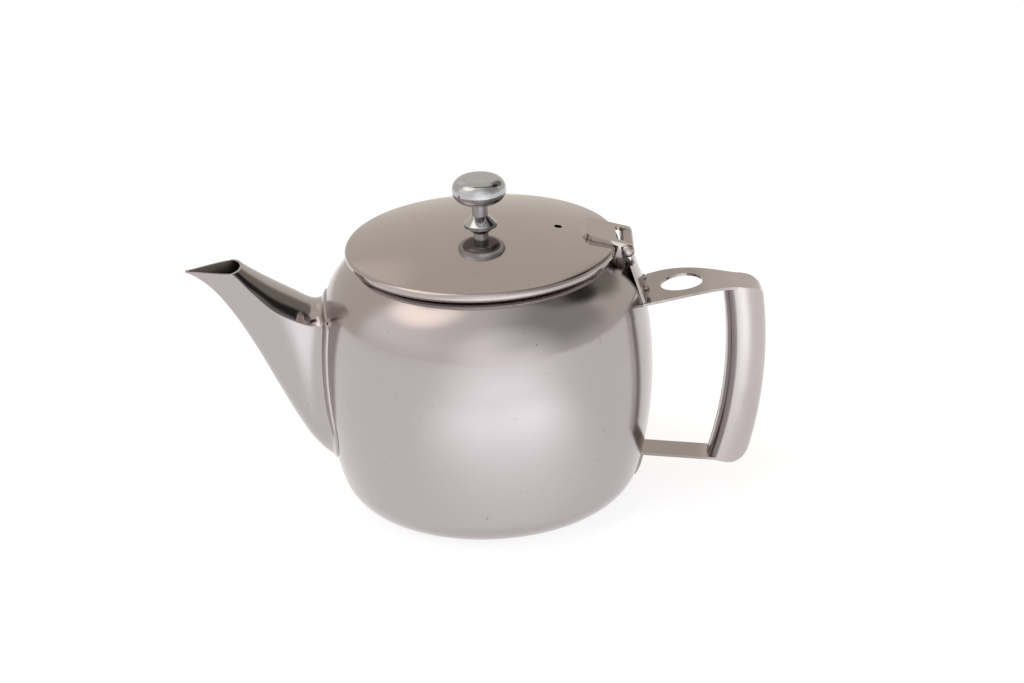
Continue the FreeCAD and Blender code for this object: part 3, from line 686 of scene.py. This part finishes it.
edge_reach = bun_radius - bun_edge
knob_outline = np.concatenate([
    straight((0, knob_bore), (screw_hole, knob_bore), 2),
    straight((screw_hole, dome_top), (foot_radius, dome_top), 3),
    straight((foot_radius, dome_top + foot_lip), (stem_radius, dome_top + foot_height), 12),
    straight((stem_radius, bun_low), (edge_reach, bun_low), 6),
    bend((edge_reach, bun_low + bun_edge), bun_edge, -90, 0, bun_steps)[1:],
    bend((edge_reach, bun_high - bun_edge), bun_edge, 0, 90, bun_steps),
    straight((edge_reach, bun_high), (0, bun_high), 8)[1:]])
knob_chrome = steel("knob_chrome", light=(0.47, 0.475, 0.49), dark=(0.42, 0.425, 0.44), gloss=(0.02, 0.04),
                    cloud=30.0, grain=(80.0, 80.0, 80.0), grain_depth=0.005 * mm)
sheet_piece("knob_turned", [([spun(knob_outline, turns)], knob_chrome)], "lid", ["knob"], 30)

# Knob screw and washer
# A slotted steel screw that goes up through the dome into the knob, and a flat washer under its head. They
# clamp the knob to the sheet and are seen only with the lid open.

plain_steel = steel("plain_steel", light=(0.47, 0.46, 0.45), dark=(0.38, 0.37, 0.36), gloss=(0.22, 0.34),
                    cloud=60.0, grain=(900.0, 900.0, 400.0), grain_depth=0.02 * mm)
dress("knob_screw", plain_steel)
dress("knob_washer", plain_steel)

# Floor
# A wide pale table top that glows evenly, so that it shows white with hardly a shadow. Far behind the pot
# it fades to the warm grey of the room, so that the lid mirrors no white there.

floor_half = 3.0
floor_level = -0.1 * mm
floor_tone = (0.30, 0.30, 0.30)
glow_strength = 0.82
near_glow = (1.0, 0.995, 0.995)
far_glow = (0.65, 0.59, 0.51)
fade_start, fade_end = 0.58, 0.85
floor_mesh = bpy.data.meshes.new("floor")
floor_corners = [(side * floor_half, depth * floor_half, floor_level)
                 for side, depth in ((-1, -1), (1, -1), (1, 1), (-1, 1))]
floor_mesh.from_pydata(floor_corners, [], [(0, 1, 2, 3)])
floor = bpy.data.objects.new("floor", floor_mesh)
bpy.context.scene.collection.objects.link(floor)
floor_paint = bpy.data.materials.new("floor_paint")
floor_paint.use_nodes = True
floor_tree = floor_paint.node_tree
floor_shader = floor_tree.nodes["Principled BSDF"]
floor_shader.inputs["Base Color"].default_value = (*floor_tone, 1)
floor_shader.inputs["Roughness"].default_value = 0.9
floor_shader.inputs["Specular IOR Level"].default_value = 0.0
floor_shader.inputs["Emission Strength"].default_value = glow_strength
floor_place = floor_tree.nodes.new("ShaderNodeTexCoord")
floor_axes = floor_tree.nodes.new("ShaderNodeSeparateXYZ")
floor_tree.links.new(floor_place.outputs["Object"], floor_axes.inputs["Vector"])
floor_fade = soft_step(floor_tree, floor_axes.outputs["Y"], fade_start, fade_end)
floor_glow = blend(floor_tree, floor_fade, near_glow, far_glow)
floor_tree.links.new(floor_glow, floor_shader.inputs["Emission Color"])
floor_mesh.materials.append(floor_paint)

# Light
# A soft studio room: bright at the left, dim at the upper right and warm grey behind the pot, with a cream
# window at the upper left and a dark seam overhead. Soft spots brighten the table in front.

world = bpy.data.worlds.new("studio")
bpy.context.scene.world = world
world.use_nodes = True
room = world.node_tree
direction = room.nodes.new("ShaderNodeTexCoord").outputs["Generated"]
compass = room.nodes.new("ShaderNodeSeparateXYZ")
room.links.new(direction, compass.inputs["Vector"])
sideways, backwards, upwards = (compass.outputs[axis] for axis in "XYZ")


def between(value, low, high):
    """Share of the room that goes from 0 at low to 1 at high with soft ends."""
    return soft_step(room, value, low, high)


def towards(turn, height, wide, narrow):
    """Share that rises from 0 to 1 between two angles, wide and narrow, from a direction. The direction is a
    turn from the front to the right and a height, and the angle's cosine is a dot product."""
    turn, height = math.radians(turn), math.radians(height)
    near = room.nodes.new("ShaderNodeVectorMath")
    near.operation = "DOT_PRODUCT"
    near.inputs[1].default_value = (math.sin(turn) * math.cos(height), -math.cos(turn) * math.cos(height),
                                    math.sin(height))
    room.links.new(direction, near.inputs[0])
    return between(near.outputs["Value"], math.cos(math.radians(wide)), math.cos(math.radians(narrow)))


left_end = (1.22, 1.19, 1.16)
low_wall = blend(room, between(sideways, 0.35, 0.85), (1.02, 0.99, 0.98), (0.72, 0.69, 0.68))
seam = product(room, between(backwards, -0.10, -0.04), between(backwards, 0.10, 0.04))
overhead = between(upwards, 0.84, 0.93)

# Layers of the room, each laid over the ones before it: its share, its colour and how it is laid
layers = [
    # From the left end of the room to the right, with paler walls low down
    (between(sideways, -1.0, -0.1), (0.95, 0.93, 0.91), "MIX"),
    (between(sideways, -0.1, 0.55), (0.46, 0.44, 0.43), "MIX"),
    (between(upwards, 0.42, 0.0), low_wall, "MIX"),
    # A wide glow in front
    (towards(14, 12, 45, 8), (0.46, 0.47, 0.48), "ADD"),
    # The wall behind, paler in a patch at its left and darker in three patches at its right
    (between(backwards, 0.0, 0.25), (0.79, 0.74, 0.67), "MIX"),
    (towards(-150, 36, 16, 9), (0.98, 0.91, 0.83), "MIX"),
    (towards(132, 36, 26, 12), (0.28, 0.26, 0.22), "MIX"),
    (towards(99, 54, 15, 8), (0.26, 0.25, 0.24), "MIX"),
    (towards(110, 44, 15, 7), (0.03, 0.03, 0.03), "MIX"),
    # The dark seam overhead and the cream window
    (product(room, seam, overhead), (0.03, 0.03, 0.03), "MIX"),
    (towards(-76, 58, 26, 4), (1.05, 0.92, 0.74), "ADD")]
walls = left_end
for share, colour, how in layers:
    walls = blend(room, share, walls, colour, how)
room.links.new(walls, room.nodes["Background"].inputs["Color"])
spot_tint = (0.92, 1.0, 1.03)
spot_source = 0.05


def table_spot(name, place, aim, radius, power):
    """A soft round lamp over the table that lights a circle about the aim point."""
    data = bpy.data.lights.new(name, "SPOT")
    data.energy = power
    data.color = spot_tint
    data.shadow_soft_size = spot_source
    data.spot_blend = 1.0
    reach = Vector(place) - Vector(aim)
    data.spot_size = 2 * math.atan(radius / reach.length)
    piece = bpy.data.objects.new(name, data)
    bpy.context.scene.collection.objects.link(piece)
    piece.matrix_world = Matrix.Translation(place) @ reach.to_track_quat("Z", "Y").to_matrix().to_4x4()
    piece.visible_glossy = False


table_spot("near_spot", place=(0.04, -0.20, 1.0), aim=(0.035, -0.15, 0.0), radius=0.12, power=46.0)
table_spot("middle_spot", place=(0.06, -0.35, 1.0), aim=(0.055, -0.30, 0.0), radius=0.24, power=55.0)
table_spot("far_spot", place=(0.10, -0.65, 1.2), aim=(0.09, -0.60, 0.0), radius=0.50, power=80.0)
table_spot("long_spot", place=(0.40, -2.30, 3.4), aim=(0.38, -2.20, 0.0), radius=2.20, power=640.0)
table_spot("spout_spot", place=(-0.06, -0.24, 1.0), aim=(-0.06, -0.18, 0.0), radius=0.08, power=40.0)
table_spot("grip_spot", place=(0.11, -0.22, 1.0), aim=(0.10, -0.165, 0.0), radius=0.07, power=50.0)
table_spot("left_spot", place=(-0.35, -0.10, 1.2), aim=(-0.30, -0.05, 0.0), radius=0.45, power=12.0)

# Camera
# A long lens that looks down on the pot by 23 degrees and is tipped by two and a half degrees, as in the
# photo. It stands in front of the pot, with the spout at the left.

camera_distance = 1445.07 * mm
camera_aim = np.array([9.42, 0.0, 58.61]) * mm
camera_height = math.radians(23.24)
camera_roll = math.radians(-2.48)
lens_length = 140.625
sensor_width = 36.0
forward = np.array([0.0, math.cos(camera_height), -math.sin(camera_height)])
level = np.array([1.0, 0.0, 0.0])
upward = np.array([0.0, math.sin(camera_height), math.cos(camera_height)])
camera_right = level * math.cos(camera_roll) + upward * math.sin(camera_roll)
camera_up = upward * math.cos(camera_roll) - level * math.sin(camera_roll)
camera_data = bpy.data.cameras.new("photo_view")
camera_data.lens = lens_length
camera_data.sensor_width = sensor_width
camera = bpy.data.objects.new("photo_view", camera_data)
bpy.context.scene.collection.objects.link(camera)
camera.matrix_world = Matrix([(*axes, 0.0) for axes in (camera_right, camera_up, -forward)] +
                             [(0.0, 0.0, 0.0, 1.0)]).transposed()
camera.location = camera_aim - forward * camera_distance
bpy.context.scene.camera = camera
bpy.context.scene.view_settings.view_transform = "Standard"
